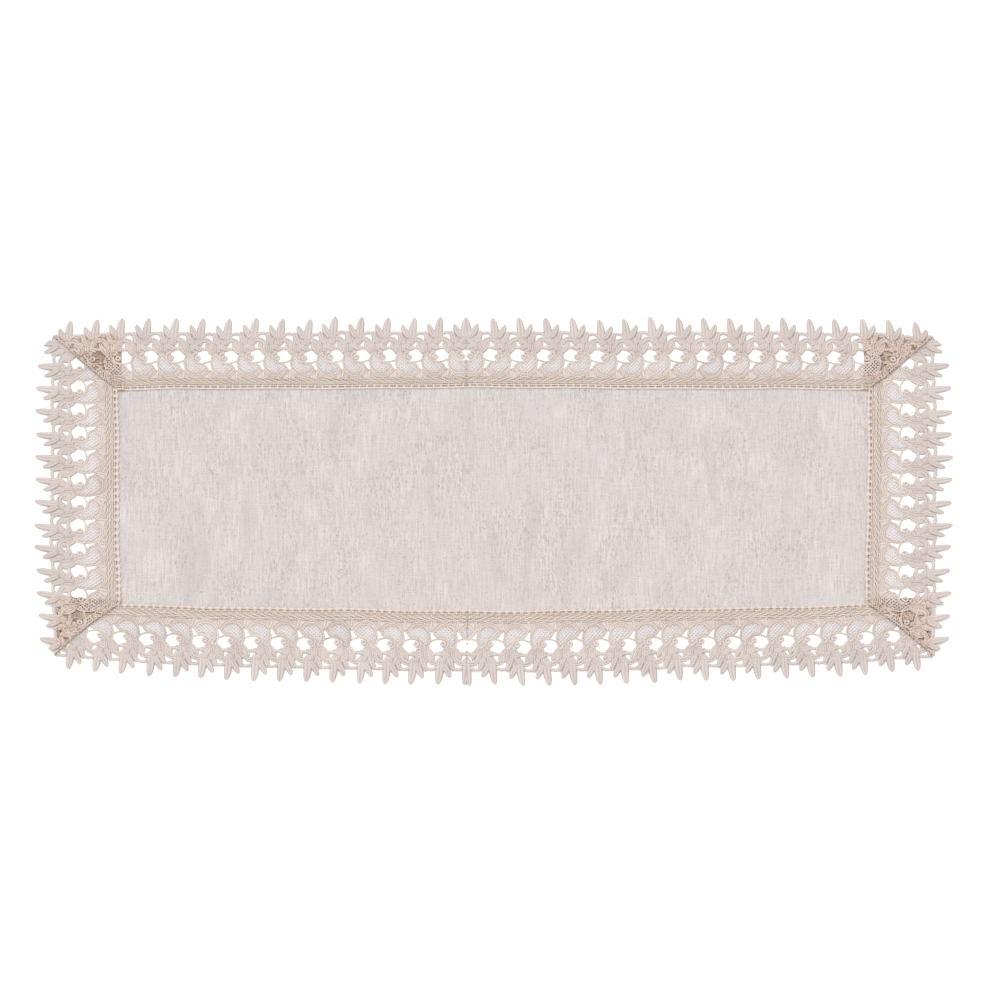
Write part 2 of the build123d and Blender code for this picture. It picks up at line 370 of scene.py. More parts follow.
def inside_spans(outline, direction, offset):
    """Where a straight line crosses a closed outline, as pairs of points inside it."""
    normal = np.array([-direction[1], direction[0]])
    side = outline @ normal - offset
    crossings = []
    for one, two, a, b in zip(outline, np.roll(outline, -1, 0), side, np.roll(side, -1)):
        if (a < 0) != (b < 0):
            crossings.append(one + (two - one) * a / (a - b))
    crossings.sort(key=lambda point: point @ direction)
    return zip(crossings[::2], crossings[1::2])


def net(mesh, outline, tone):
    """Two crossing rows of fine thread that fill an outline."""
    for level, slope in enumerate((48, 132)):
        direction = np.array([math.cos(math.radians(slope)), math.sin(math.radians(slope))])
        reach = outline @ np.array([-direction[1], direction[0]])
        for offset in np.arange(reach.min() + NET_PITCH / 2, reach.max(), NET_PITCH):
            for start, end in inside_spans(outline, direction, offset):
                path = start + (end - start) * np.linspace(0, 1, 3)[:, None]
                sweep(mesh, path, NET_THREAD, 0.34, PLATE_SECTION, tone, 0.3 + 0.05 * level)


def motif():
    """One spray: u runs along the tape and v outwards from the sewn edge."""
    mesh = Mesh()
    paisley = curve(PAISLEY, 40, closed=True)
    net(mesh, paisley, -1.0)
    sweep(mesh, paisley, 1.6, CORD_HIGH, CORD_SECTION, OUTLINE, 0.1, closed=True)
    inner = paisley.mean(0) + (paisley - paisley.mean(0)) * 0.85
    sweep(mesh, inner, 0.6, 0.6, THIN_SECTION, 0.0, 0.25, closed=True)
    turn = np.arange(18) * 2 * math.pi / 18
    circle = np.array(RING_AT) + RING_RADIUS * np.column_stack([np.cos(turn), np.sin(turn)])
    sweep(mesh, circle, 2.4, CORD_HIGH * 1.1, CORD_SECTION, 0.3, 0.1, closed=True)
    for shape in SCALLOPS:
        cord(mesh, *shape)
    for points, wide, narrow, tone in FANS:
        sweep(mesh, curve(points, 8), np.linspace(wide, narrow, 8), 0.5, GROUND_SECTION, tone, 0.1)
    for shape in JOINING_CORDS:
        cord(mesh, *shape)
    body = curve(BODY, 19)
    spread = np.interp(np.linspace(0, 1, len(body)), BODY_PLACES, BODY_WIDTHS)
    sweep(mesh, body, spread, 0.55, GROUND_SECTION, 0.0, 0.1)
    for shape in BRANCHES:
        cord(mesh, *shape)
    for shape in LEAVES:
        leaf(mesh, *shape)
    return mesh.merged()


MOTIF = motif()


# ------------------------------------------------------------------ the header
# Rows of braid: distance from the sewn edge, width, swing and tone
HEADER_ROWS = (
    (5.6, 1.25, 0.08, 0.95), (6.9, 1.1, 0.2, 1.1), (8.2, 1.3, 0.3, 0.95),
    (9.5, 1.1, 0.25, 1.2), (10.8, 1.3, 0.2, 1.0), (12.1, 1.1, 0.2, 1.2),
)
HEADER_STEP = 1.15        # length of one step along the header
EDGE_AT = 0.8             # where the edge's own cord runs

# Straight parts: distance from the sewn edge, width, height, tone and height off the hem
WEB = (8.7, 7.6, 0.45, 1.0, 0.12)
# The two plates below are dark sheets under the beads and eyelets: painted shade in their holes
BEADED_SHADE_PLATE = (1.5, 3.8, 0.1, 1.4, 0.02)
PLAIN_SHADE_PLATE = (2.6, 2.4, 0.1, EYELET_SHADE, 0.02)
BEADED_CORD = (4.0, 1.3, 0.7, 0.9, 0.15)
PLAIN_CORD = (3.7, 1.7, 0.7, 0.9, 0.15)


def band(mesh, u, section, v, width, height, tone, base):
    """A straight part of the header, all along it."""
    sweep(mesh, np.column_stack([u, np.full(len(u), v)]), width, height, section, tone, base)


def header(mesh, low, high, beaded):
    """The braided band along the sewn edge, from low to high: beads or eyelets, and rows of fine braid."""
    u = np.linspace(low, high, int((high - low) / HEADER_STEP))
    band(mesh, u, PLATE_SECTION, *WEB)
    for row, (v, width, swing, tone) in enumerate(HEADER_ROWS):
        wave = v + swing * np.sin(2 * math.pi * u / BEAD_PITCH + row * 2.1) + 0.15 * np.sin(u / 9 + row)
        bundles = 1 + 0.2 * np.sin(2 * math.pi * u / (BEAD_PITCH / 3) + row * 1.7)
        sweep(mesh, np.column_stack([u, wave]), width * bundles, 0.62 * bundles, THIN_SECTION, tone, 0.4)
    swell = (0.5 + 0.5 * np.cos(2 * math.pi * u / BEAD_PITCH)) ** 1.5
    if beaded:
        bead = swell ** 0.5
        band(mesh, u, CORD_SECTION, EDGE_AT + 0.2, 0.8 + 2.9 * bead, 0.6 + 1.0 * bead, 0.8, 0.1)
        # a dark plate under the beads: painted shade between them
        band(mesh, u, PLATE_SECTION, *BEADED_SHADE_PLATE)
    else:
        band(mesh, u, CORD_SECTION, EDGE_AT, 1.9 + 0.4 * swell, 0.8 + 0.2 * swell, 0.8, 0.1)
        # a dark plate under the eyelets: painted shade in them
        band(mesh, u, PLATE_SECTION, *PLAIN_SHADE_PLATE)
    bar_width, bar_tone = ((4.4, 3.8, 4.2), 0.6) if beaded else ((2.4, 1.8, 2.4), 0.8)
    for place in np.arange(math.ceil(low / BEAD_PITCH), math.floor(high / BEAD_PITCH) + 1) * BEAD_PITCH:
        bar = np.array([(place - 0.2, 1.2), (place, 2.9), (place + 0.2, 4.8)])
        sweep(mesh, bar, bar_width, 0.85, THIN_SECTION, bar_tone, 0.15)
    band(mesh, u, THIN_SECTION, *(BEADED_CORD if beaded else PLAIN_CORD))


ROOT_V, SPRAY_REACH = 22, 53      # a spray sways and grows from here, over this height


def strip(low, high, origin, beaded):
    """A flat length of lace from low to high, with one motif starting at origin."""
    mesh = Mesh()
    header(mesh, low, high, beaded)
    points, stitch, tone, quads, tris = MOTIF
    first = math.floor((low - origin) / PITCH) - 1
    last = math.ceil((high - origin) / PITCH)
    for step in range(first, last + 1):
        lean, grow = math.radians(random.normal(0, 0.7)), 1 + random.normal(0, 0.01)
        placed = points.copy()
        arm = np.clip((points[:, 1] - ROOT_V) / SPRAY_REACH, 0, 1)
        placed[:, 0] += arm * SPRAY_REACH * math.sin(lean) + random.normal(0, 0.15)
        placed[:, 1] = ROOT_V + (placed[:, 1] - ROOT_V) * np.where(points[:, 1] > ROOT_V, grow, 1)
        placed[:, 0] += origin + PITCH * step
        mesh.add(placed, stitch, tone + random.normal(0, 0.08), quads, tris)
    return mesh


# ------------------------------------------------------------------ from strips to pieces
def build(name, arrays):
    """A Blender mesh object from plain arrays in millimetres."""
    points, stitch, tone, quads, tris = arrays
    data = bpy.data.meshes.new(name)
    loops = np.concatenate([quads.ravel(), tris.ravel()])
    sizes = np.concatenate([np.full(len(quads), 4), np.full(len(tris), 3)])
    data.vertices.add(len(points))
    data.vertices.foreach_set("co", points.ravel())
    data.loops.add(len(loops))
    data.loops.foreach_set("vertex_index", loops)
    data.polygons.add(len(sizes))
    data.polygons.foreach_set("loop_start", np.concatenate([[0], np.cumsum(sizes)[:-1]]))
    data.update(calc_edges=True)
    data.attributes.new("stitch", "FLOAT_VECTOR", "POINT").data.foreach_set("vector", stitch.ravel())
    data.attributes.new("tone", "FLOAT", "POINT").data.foreach_set("value", tone)
    made = bpy.data.objects.new(name, data)
    bpy.context.scene.collection.objects.link(made)
    return made


def cut(bm, point, normal):
    """Cuts away what lies beyond a line, and closes the cut ends."""
    everything = bm.verts[:] + bm.edges[:] + bm.faces[:]
    plane = {"plane_co": (*point, 0), "plane_no": (*normal, 0)}
    result = bmesh.ops.bisect_plane(bm, geom=everything, dist=1e-4, clear_outer=True, **plane)
    edges = [item for item in result["geom_cut"] if isinstance(item, bmesh.types.BMEdge)]
    bmesh.ops.edgenet_fill(bm, edges=edges)


def lay(made, place, cuts, lift, squash=1.0):
    """Turns a flat strip into place, cuts its mitres and lays it down."""
    data = made.data
    bm = bmesh.new()
    bm.from_mesh(data)
    for vert in bm.verts:
        x, y = place(vert.co.x, vert.co.y)
        vert.co.x, vert.co.y = x, y
    for point, normal in cuts:
        cut(bm, point, normal)
    bmesh.ops.recalc_face_normals(bm, faces=bm.faces[:])
    bm.to_mesh(data)
    bm.free()
    points = np.empty(len(data.vertices) * 3)
    data.vertices.foreach_get("co", points)
    points = points.reshape(-1, 3)
    x, y, z = points.T
    raised = lift(x, y)
    points[:, 2] = z * squash + on_hem(x, y) + raised
    trimmed = smooth(FOLD_TRIM - 1, FOLD_TRIM + 3, np.maximum(np.abs(x) - IN_X, np.abs(y) - IN_Y))
    doubled = raised / FOLD_LIFT * (1 - trimmed)
    data.attributes.new("doubled", "FLOAT", "POINT").data.foreach_set("value", doubled)
    data.vertices.foreach_set("co", (warp(points) * MM).ravel())
    data.polygons.foreach_set("use_smooth", np.ones(len(data.polygons), bool))
    data.update()
    return made


# ------------------------------------------------------------------ materials
def material(name):
    """A new node material: its tree, and its shader."""
    made = bpy.data.materials.new(name)
    made.use_nodes = True
    tree = made.node_tree
    return made, tree, tree.nodes["Principled BSDF"]


def node(tree, kind, inputs=None, **settings):
    """One shader node, with its inputs set or linked."""
    made = tree.nodes.new(kind)
    for key, value in settings.items():
        setattr(made, key, value)
    for key, value in (inputs or {}).items():
        if isinstance(value, bpy.types.NodeSocket):
            tree.links.new(value, made.inputs[key])
        else:
            made.inputs[key].default_value = value
    return made


def maths(tree, operation, first, second=0.0, third=0.0):
    """The result of one sum."""
    return node(tree, "ShaderNodeMath", {0: first, 1: second, 2: third}, operation=operation).outputs[0]


def mix(tree, share, first, second, blend="MIX"):
    """One colour mixed into another."""
    made = node(tree, "ShaderNodeMix", data_type="RGBA", blend_type=blend)
    for socket, value in ((made.inputs[0], share), (made.inputs[6], first), (made.inputs[7], second)):
        if isinstance(value, bpy.types.NodeSocket):
            tree.links.new(value, socket)
        else:
            socket.default_value = value
    return made.outputs[2]


def stretched_noise(tree, coordinates, sizes, detail=2.0, roughness=0.5):
    """Noise whose grain has the given sizes in millimetres along x, y and z."""
    scale = [1 / (size * MM) for size in sizes]
    moved = node(tree, "ShaderNodeVectorMath", {0: coordinates, 1: scale}, operation="MULTIPLY").outputs[0]
    inputs = {"Vector": moved, "Scale": 1.0, "Detail": detail, "Roughness": roughness}
    return node(tree, "ShaderNodeTexNoise", inputs).outputs[0]


def ramp(tree, value, low, high, out_low=0.0, out_high=1.0):
    """A value taken from one range to another, and held inside it."""
    return node(tree, "ShaderNodeMapRange", {0: value, 1: low, 2: high, 3: out_low, 4: out_high}).outputs[0]


# Colours of the lace: leaf, header and net
LACE_COLOURS = ((0.745, 0.655, 0.63, 1), (0.94, 0.795, 0.705, 1), (0.93, 0.865, 0.87, 1))
# Painted shade: the folded layer's leaf, header and net colours, darker copies of the lace's own
FOLD_SHADE_COLOURS = ((0.50, 0.33, 0.25, 1), (0.54, 0.36, 0.27, 1), (0.84, 0.65, 0.54, 1))
THREAD_COLOURS = ((0.90, 0.80, 0.70, 1), (0.90, 0.80, 0.70, 1), (0.9, 0.85, 0.8, 1))
# painted shade: the dark brown that tones from 1 to 2 mix in
SHADE_BROWN = (0.20, 0.14, 0.10, 1)
OVER_FOLD_SHADE = (0.90, 0.69, 0.58, 1)           # painted shade: a layer with a folded one under it is tinted warmer
GAP_SHADE = (0.27, 0.145, 0.09, 1)             # painted shade: small dark brown holes through it
# Painted shade low in each cord's and leaf's section, stronger over a folded layer
DEPTH_SHADE, DEPTH_SHADE_OVER_FOLD = (0.36, 0.30, 0.265, 1), (0.30, 0.18, 0.125, 1)
BUNDLE_SHADOW = (0.44, 0.33, 0.27, 1)
# painted shade between the satin stitches
GROOVE_SHADE = (0.40, 0.31, 0.26, 1)
WORN = (0.90, 0.82, 0.78, 1)
FUZZ = (0.40, 0.33, 0.28, 1)


def lace_material(name, colours, gap_shade_strength=0.0):
    """Satin-stitched lace: slanting stitches from the mesh's own stitch lines, with painted shade low in its
    sections, between its stitches and in small holes.
    """
    made, tree, shader = material(name)
    stitch = node(tree, "ShaderNodeAttribute", attribute_name="stitch").outputs["Vector"]
    tone = node(tree, "ShaderNodeAttribute", attribute_name="tone").outputs["Fac"]
    doubled = node(tree, "ShaderNodeAttribute", attribute_name="doubled").outputs["Fac"]
    parts = node(tree, "ShaderNodeSeparateXYZ", {0: stitch})
    along, across, up = parts.outputs[0], parts.outputs[1], parts.outputs[2]
    place = node(tree, "ShaderNodeTexCoord").outputs["Object"]
    slant = maths(tree, "MULTIPLY_ADD", maths(tree, "ABSOLUTE", across), 0.8, along)
    threads = maths(tree, "SINE", maths(tree, "MULTIPLY", slant, 2 * math.pi / SATIN_STITCH))
    bundles = maths(tree, "SINE", maths(tree, "MULTIPLY", slant, 2 * math.pi / BUNDLE))
    fuzz = stretched_noise(tree, place, (0.5, 0.5, 0.5), 3)
    patches = stretched_noise(tree, place, (26, 26, 26), 2)
    gap_shade_noise = stretched_noise(tree, place, (1.5, 1.5, 1.5), 2, 0.6)
    leaf_colour, header_colour, net_colour = colours
    colour = mix(tree, ramp(tree, tone, 0, 1), leaf_colour, header_colour)
    colour = mix(tree, ramp(tree, tone, 0, -1), colour, net_colour)
    # tones from 1 to 2 mix in the painted shade brown
    colour = mix(tree, ramp(tree, tone, 1, 2), colour, SHADE_BROWN)
    # painted shade: a warmer tint where a folded layer lies below
    colour = mix(tree, maths(tree, "MULTIPLY", doubled, 0.6), colour, OVER_FOLD_SHADE)
    # painted shade: the lower a point lies in its section, the darker
    depth_shade_mask = ramp(tree, up, 0.9, 0.2, 0.0, 1.0)
    depth_shade_share = maths(tree, "MULTIPLY", depth_shade_mask, maths(tree, "MULTIPLY_ADD", doubled, 0.2, 0.66))
    colour = mix(tree, depth_shade_share, colour, mix(tree, doubled, DEPTH_SHADE, DEPTH_SHADE_OVER_FOLD))
    colour = mix(tree, ramp(tree, bundles, -1, 0.2, 0.36, 0.0), colour, BUNDLE_SHADOW)
    # painted shade in small holes, over folded layers and on the folded layer itself
    gap_shade_reach = maths(tree, "MAXIMUM", doubled, gap_shade_strength)
    gap_shade_share = maths(tree, "MULTIPLY", gap_shade_reach, ramp(tree, gap_shade_noise, 0.53, 0.62, 0, 0.85))
    colour = mix(tree, gap_shade_share, colour, GAP_SHADE)
    # painted shade in the grooves between stitches
    colour = mix(tree, ramp(tree, threads, -1, 0.4, 0.12, 0.0), colour, GROOVE_SHADE)
    colour = mix(tree, ramp(tree, patches, 0.35, 0.65, 0.0, 0.2), colour, WORN)
    colour = mix(tree, ramp(tree, fuzz, 0.45, 0.7, 0.0, 0.16), colour, FUZZ)
    tree.links.new(colour, shader.inputs["Base Color"])
    height = maths(tree, "MULTIPLY_ADD", bundles, 1.6, maths(tree, "MULTIPLY_ADD", fuzz, 0.5, threads))
    bump = node(tree, "ShaderNodeBump", {"Strength": 0.5, "Distance": 0.12 * MM, "Height": height})
    tree.links.new(bump.outputs[0], shader.inputs["Normal"])
    tree.links.new(ramp(tree, threads, -1, 1, 0.72, 0.5), shader.inputs["Roughness"])
    shader.inputs["Sheen Weight"].default_value = 0.12
    shader.inputs["Sheen Roughness"].default_value = 0.4
    shader.inputs["Specular IOR Level"].default_value = 0.25
    return made


# The linen's yarns, from dark to pale, over noise that is stretched along them
YARN_DARK, YARN_PALE = (0.53, 0.482, 0.467, 1), (0.80, 0.737, 0.723, 1)
WEAVE_SHADOW = (0.50, 0.45, 0.43, 1)
LONG_STREAKS = ((1.6, 26, 50), 3, 0.6)
SLUBS = ((1.7, 4.5, 50), 2, 0.5)
GRAIN = ((1.1, 1.3, 11), 2, 0.6)
CLUSTERS = ((42, 75, 70), 3, 0.6)

# What lies over them: noise (sizes in millimetres, detail, roughness), the range it shows over and its
# strength at that range's ends, how far it keeps to the clusters, and its colour
LINEN_LAYERS = (
    (((18, 1.5, 50), 3, 0.6), (0.46, 0.66, 0, 0.6), 0, (0.80, 0.74, 0.725, 1)),       # weft streaks
    (((36, 60, 60), 3, 0.55), (0.40, 0.66, 0.5, 0), 0, (0.62, 0.57, 0.555, 1)),       # clouds
    (((24, 130, 23), 2, 0.5), (0.56, 0.70, 0, 0.55), 0, (0.56, 0.51, 0.495, 1)),      # long shade
    (((1.4, 7, 50), 3, 0.6), (0.52, 0.64, 0, 0.6), 1, (0.44, 0.395, 0.37, 1)),        # short streaks
    (SLUBS, (0.60, 0.71, 0, 0.85), 0.75, (0.33, 0.295, 0.27, 1)),                     # dark slubs
    (((2.2, 9, 31), 2, 0.5), (0.56, 0.70, 0, 0.75), 1, (0.50, 0.385, 0.30, 1)),       # warm slubs
    (((2.0, 2.6, 17), 1, 0.4), (0.70, 0.77, 0, 0.8), 0, (0.27, 0.235, 0.21, 1)),      # specks
    (GRAIN, (0.32, 0.68, 0.26, 0.0), 0, (0.50, 0.455, 0.44, 1)),                      # dark grain
    (GRAIN, (0.50, 0.72, 0.0, 0.4), 0, (0.86, 0.81, 0.80, 1)),                        # pale grain
)


def linen_material():
    """Plain weave with slubby yarns that run across the runner."""
    made, tree, shader = material("linen_weave")
    place = node(tree, "ShaderNodeTexCoord").outputs["Object"]
    parts = node(tree, "ShaderNodeSeparateXYZ", {0: place})
    bend = stretched_noise(tree, place, (9, 9, 9), 2)
    x = maths(tree, "MULTIPLY_ADD", bend, 0.5 * MM, parts.outputs[0])
    y = maths(tree, "MULTIPLY_ADD", bend, 0.5 * MM, parts.outputs[1])
    warp_yarn = maths(tree, "SINE", maths(tree, "MULTIPLY", x, 2 * math.pi / (LINEN_WARP * MM)))
    weft_yarn = maths(tree, "SINE", maths(tree, "MULTIPLY", y, 2 * math.pi / (LINEN_WEFT * MM)))
    over = maths(tree, "MULTIPLY", warp_yarn, weft_yarn)
    long_streaks = stretched_noise(tree, place, *LONG_STREAKS)
    clustered = ramp(tree, stretched_noise(tree, place, *CLUSTERS), 0.42, 0.60)
    colour = mix(tree, ramp(tree, long_streaks, 0.34, 0.64), YARN_DARK, YARN_PALE)
    for noise, seen, keeps, layer_colour in LINEN_LAYERS:
        share = ramp(tree, stretched_noise(tree, place, *noise), *seen)
        if keeps:
            share = maths(tree, "MULTIPLY", share, maths(tree, "MULTIPLY_ADD", clustered, keeps, 1 - keeps))
        colour = mix(tree, share, colour, layer_colour)
    colour = mix(tree, ramp(tree, over, -0.9, 0.2, 0.2, 0.0), colour, WEAVE_SHADOW)
    tree.links.new(colour, shader.inputs["Base Color"])
    slubs = stretched_noise(tree, place, *SLUBS)
    yarn = maths(tree, "MULTIPLY_ADD", over, 0.5, maths(tree, "MULTIPLY", slubs, 1.4))
    height = maths(tree, "MULTIPLY_ADD", long_streaks, 0.8, yarn)
    bump = node(tree, "ShaderNodeBump", {"Strength": 0.45, "Distance": 0.15 * MM, "Height": height})
    tree.links.new(bump.outputs[0], shader.inputs["Normal"])
    tree.links.new(ramp(tree, over, -1, 1, 0.95, 0.8), shader.inputs["Roughness"])
    shader.inputs["Sheen Weight"].default_value = 0.1
    shader.inputs["Sheen Roughness"].default_value = 0.5
    shader.inputs["Specular IOR Level"].default_value = 0.15
    return made


LACE = lace_material("lace_satin", LACE_COLOURS)
SHADED_LACE = lace_material("lace_satin_folded_shade", FOLD_SHADE_COLOURS, 0.7)
THREAD = lace_material("sewing_thread", THREAD_COLOURS)
LINEN = linen_material()


def dress(made, nodes, look):
    """Gives a piece its body and its material, and hides the CAD node it stands for."""
    made.data.materials.clear()
    made.data.materials.append(look)
    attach(made, "root")
    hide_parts(*nodes)
    return made


# ------------------------------------------------------------------ the lace, run by run
SLANT = math.sqrt(0.5)


def north_lift(x, y):
    """The long side's tape rises over the layer folded under it at the corner."""
    return FOLD_LIFT * smooth(IN_X - FOLD_OVER - 4, IN_X - FOLD_OVER + 2, np.abs(x)) * (y > 0)


def south_lift(x, y):
    """The short side's tape rises over the layer folded under it at the south corners."""
    return FOLD_LIFT * smooth(IN_Y - FOLD_OVER - 4, IN_Y - FOLD_OVER + 2, -y)


def flat_lift(x, y):
    """No fold underneath."""
    return np.zeros_like(x)


def mitre(side_x, side_y, long_side):
    """The diagonal cut at a corner: the line's point, and the direction that is cut away."""
    out = (side_x * SLANT, -side_y * SLANT) if long_side else (-side_x * SLANT, side_y * SLANT)
    tuck = TUCK if long_side == (side_y < 0) else 0
    return (side_x * IN_X + out[0] * tuck, side_y * IN_Y + out[1] * tuck), out


def corner_trim(side_x, side_y):
    """The lace is trimmed square across each corner's point."""
    return (side_x * (IN_X + CORNER_REACH), side_y * (IN_Y + CORNER_REACH)), (side_x * SLANT, side_y * SLANT)


def long_run(side_x, side_y):
    """Half of a long side's lace, from the join to the corner."""
    name = f"lace_{'north' if side_y > 0 else 'south'}_{'west' if side_x < 0 else 'east'}"
    far = HALF_X if side_x < 0 else HALF_X - 2 * JOIN_X
    if side_y > 0:
        made = build(name + "_tape", strip(-far - END_SPARE, JOIN_X, JOIN_X - NORTH_PHASE, False).merged())
    else:
        made = build(name + "_tape", strip(-JOIN_X, far + END_SPARE, -JOIN_X - SOUTH_PHASE, True).merged())

    def place(u, v):
        x = u if side_y > 0 else -u
        return (x if side_x < 0 else 2 * JOIN_X - x), side_y * (IN_Y + v)

    cuts = [((JOIN_X, 0), (-side_x, 0)), mitre(side_x, side_y, True), corner_trim(side_x, side_y)]
    lay(made, place, cuts, north_lift if side_y > 0 else flat_lift)
    return dress(made, [name], LACE)


def along_side(side_x):
    """Where a spray of a short side starts on the flat cloth, so that it ends at its real place."""
    flat = np.linspace(-1.4 * HALF_Y, 1.4 * HALF_Y, 400)
    middle = np.full_like(flat, side_x * (IN_X + LACE_WIDTH / 2))
    real = warp(np.column_stack([middle, flat, np.zeros_like(flat)]))[:, 1]
    return lambda u: np.interp(SIDE_START + u * SIDE_PITCH / PITCH, real, flat)


def short_run(side_x):
    """A short side's lace, corner to corner."""
    name = f"lace_{'west' if side_x < 0 else 'east'}"
    made = build(name + "_tape", strip(-HALF_Y - END_SPARE, HALF_Y + SHORT_SPARE, 0, True).merged())
    settle = along_side(side_x)
    cuts = [mitre(side_x, side_y, False) for side_y in (1, -1)]
    cuts += [corner_trim(side_x, side_y) for side_y in (1, -1)]
    lay(made, lambda u, v: (side_x * (IN_X + v), settle(u)), cuts, south_lift)
    return dress(made, [name], LACE)


def gathered_over_shade(mesh):
    """The strip of lace with the rest of its folded cords gathered flat behind it over dark rows of painted
    shade, as plain arrays.
    """
    places = np.concatenate([points[:, 0] for points in mesh.points])
    low, high = places.min(), places.max()
    u = np.arange(low, high, 4.0)
    # dark plates at tone 1.3: painted shade between the gathered cords
    for v in np.arange(HEADER + 2, FOLD_TRIM, SHADE_ROW_PITCH):
        row = np.column_stack([u, v + np.sin(u / 5 + v)])
        sweep(mesh, row, SHADE_ROW_PITCH + 0.4, 0.25, GROUND_SECTION, 1.3, 0.0)
    for _ in range(CURLS):
        start = np.array([random.uniform(low, high), random.uniform(HEADER, FOLD_TRIM)])
        turn, bend = random.uniform(0, 2 * math.pi), random.uniform(-0.9, 0.9)
        angles = turn + bend * np.arange(4)
        steps = np.column_stack([np.cos(angles), np.sin(angles)]) * CURL_STEP
        path = start + np.vstack([(0, 0), np.cumsum(steps, axis=0)])
        width, tone = random.uniform(0.9, 1.7), random.uniform(-1, 0)
        cord(mesh, path, width, 6, 1.0, tone, THIN_SECTION, random.uniform(0.2, 0.7))
    return mesh.merged()


def fold(side_x, side_y):
    """The layer of lace folded back under a mitre."""
    name = f"lace_fold_{'n' if side_y > 0 else 's'}{'w' if side_x < 0 else 'e'}"
    if side_y > 0:
        layer = strip(-HALF_X - LACE_WIDTH - FOLD_SPARE, -HALF_X + 1, JOIN_X - NORTH_PHASE, False)
        made = build(name + "_layer", gathered_over_shade(layer))

        def place(u, v):
            return -side_x * (-2 * HALF_X - u), IN_Y + v

        edges = [((side_x * (IN_X - FOLD_OVER), 0), (-side_x, 0)), ((0, IN_Y + FOLD_TRIM), (0, 1))]
    else:
        layer = strip(-HALF_Y - LACE_WIDTH - FOLD_SPARE, -HALF_Y + 1, 0, True)
        made = build(name + "_layer", gathered_over_shade(layer))

        def place(u, v):
            return side_x * (IN_X + v), -2 * HALF_Y - u

        edges = [((0, FOLD_OVER - IN_Y), (0, 1)), ((side_x * (IN_X + FOLD_TRIM), 0), (side_x, 0))]
    lay(made, place, edges + [mitre(side_x, side_y, side_y > 0)], flat_lift, FOLD_SQUASH)
    return dress(made, [name], SHADED_LACE)


tapes = [long_run(side_x, side_y) for side_x in (-1, 1) for side_y in (1, -1)]
tapes += [short_run(side_x) for side_x in (-1, 1)]
folds = [fold(side_x, side_y) for side_x in (-1, 1) for side_y in (1, -1)]


# ------------------------------------------------------------------ sewing threads
def surface(points, lift, top=LACE_TOP):
    """Flat points laid on top of the lace."""
    x, y = points.T
    return np.column_stack([x, y, top - 0.25 + on_hem(x, y) + lift(x, y)])


def thread(mesh, path, lift, width=0.42, top=LACE_TOP):
    """A sewing thread along a flat path, on top of the lace."""
    laid = surface(path, lift, top)
    sweep(mesh, path, width, width, THIN_SECTION, 0.8, laid[:, 2])


def header_seam(name, side_x, side_y):
    """A straight row of stitches along one side's header."""
    mesh = Mesh()
    length = IN_X if side_y else IN_Y
    for middle in np.arange(-int(length / BEAD_PITCH), int(length / BEAD_PITCH) + 1) * BEAD_PITCH:
        run = middle + np.linspace(-STITCH / 2, STITCH / 2, 4)
        line = np.full(4, IN_Y + SEAM_LINE if side_y else IN_X + SEAM_LINE)
        path = np.column_stack([run, side_y * line]) if side_y else np.column_stack([side_x * line, run])
        thread(mesh, path, flat_lift, 0.4, SEAM_TOP)
    return finish_thread(mesh, name)


def zigzag(mesh, start, end, lift, swing=1.3, step=1.7, width=0.42, top=LACE_TOP):
    """A continuous zigzag of thread from start to end."""
    start, end = np.array(start, float), np.array(end, float)
    length = np.linalg.norm(end - start)
    count = int(length / step)
    across = np.array([-(end - start)[1], (end - start)[0]]) / length
    share = np.linspace(0, 1, count + 1)
    path = start + (end - start) * share[:, None] + across * (swing * (-1) ** np.arange(count + 1))[:, None]
    fine = np.vstack([path[:-1] + (path[1:] - path[:-1]) * part for part in (0, 0.5)]).reshape(2, -1, 2)
    thread(mesh, fine.transpose(1, 0, 2).reshape(-1, 2), lift, width, top)


def finish_thread(mesh, name):
    """Threads as a finished piece."""
    points, stitch, tone, quads, tris = mesh.merged()
    made = build(name + "_thread", (warp(points) * MM, stitch, tone, quads, tris))
    made.data.polygons.foreach_set("use_smooth", np.ones(len(made.data.polygons), bool))
    bm = bmesh.new()
    bm.from_mesh(made.data)
    bmesh.ops.recalc_face_normals(bm, faces=bm.faces[:])
    bm.to_mesh(made.data)
    bm.free()
    return dress(made, [name], THREAD)


def corner_seam(side_x, side_y):
    """Zigzag along the mitre's fold."""
    mesh = Mesh()
    shift = np.array([-side_x * MITRE_INSET, 0]) if side_y > 0 else np.array([0, -side_y * MITRE_INSET])
    start, end = (np.array([side_x * (IN_X + out), side_y * (IN_Y + out)]) + shift for out in MITRE_SEAM)
    zigzag(mesh, start, end, north_lift if side_y > 0 else south_lift, 0.8, 1.4, 0.7, MITRE_TOP)
    return finish_thread(mesh, f"mitre_seam_{'n' if side_y > 0 else 's'}{'w' if side_x < 0 else 'e'}")


def butt_seam(side_y):
    """Zigzag over the join in the middle of a long side."""
    mesh = Mesh()
    start, end = ((JOIN_X, side_y * (IN_Y + out)) for out in BUTT_SEAM)
    zigzag(mesh, start, end, flat_lift, 0.9, 1.5)
    return finish_thread(mesh, f"butt_seam_{'north' if side_y > 0 else 'south'}")


threads = [header_seam("header_seam_north", 0, 1), header_seam("header_seam_south", 0, -1)]
threads += [header_seam("header_seam_west", -1, 0), header_seam("header_seam_east", 1, 0)]
threads += [corner_seam(side_x, side_y) for side_x in (-1, 1) for side_y in (1, -1)]
threads += [butt_seam(side_y) for side_y in (1, -1)]


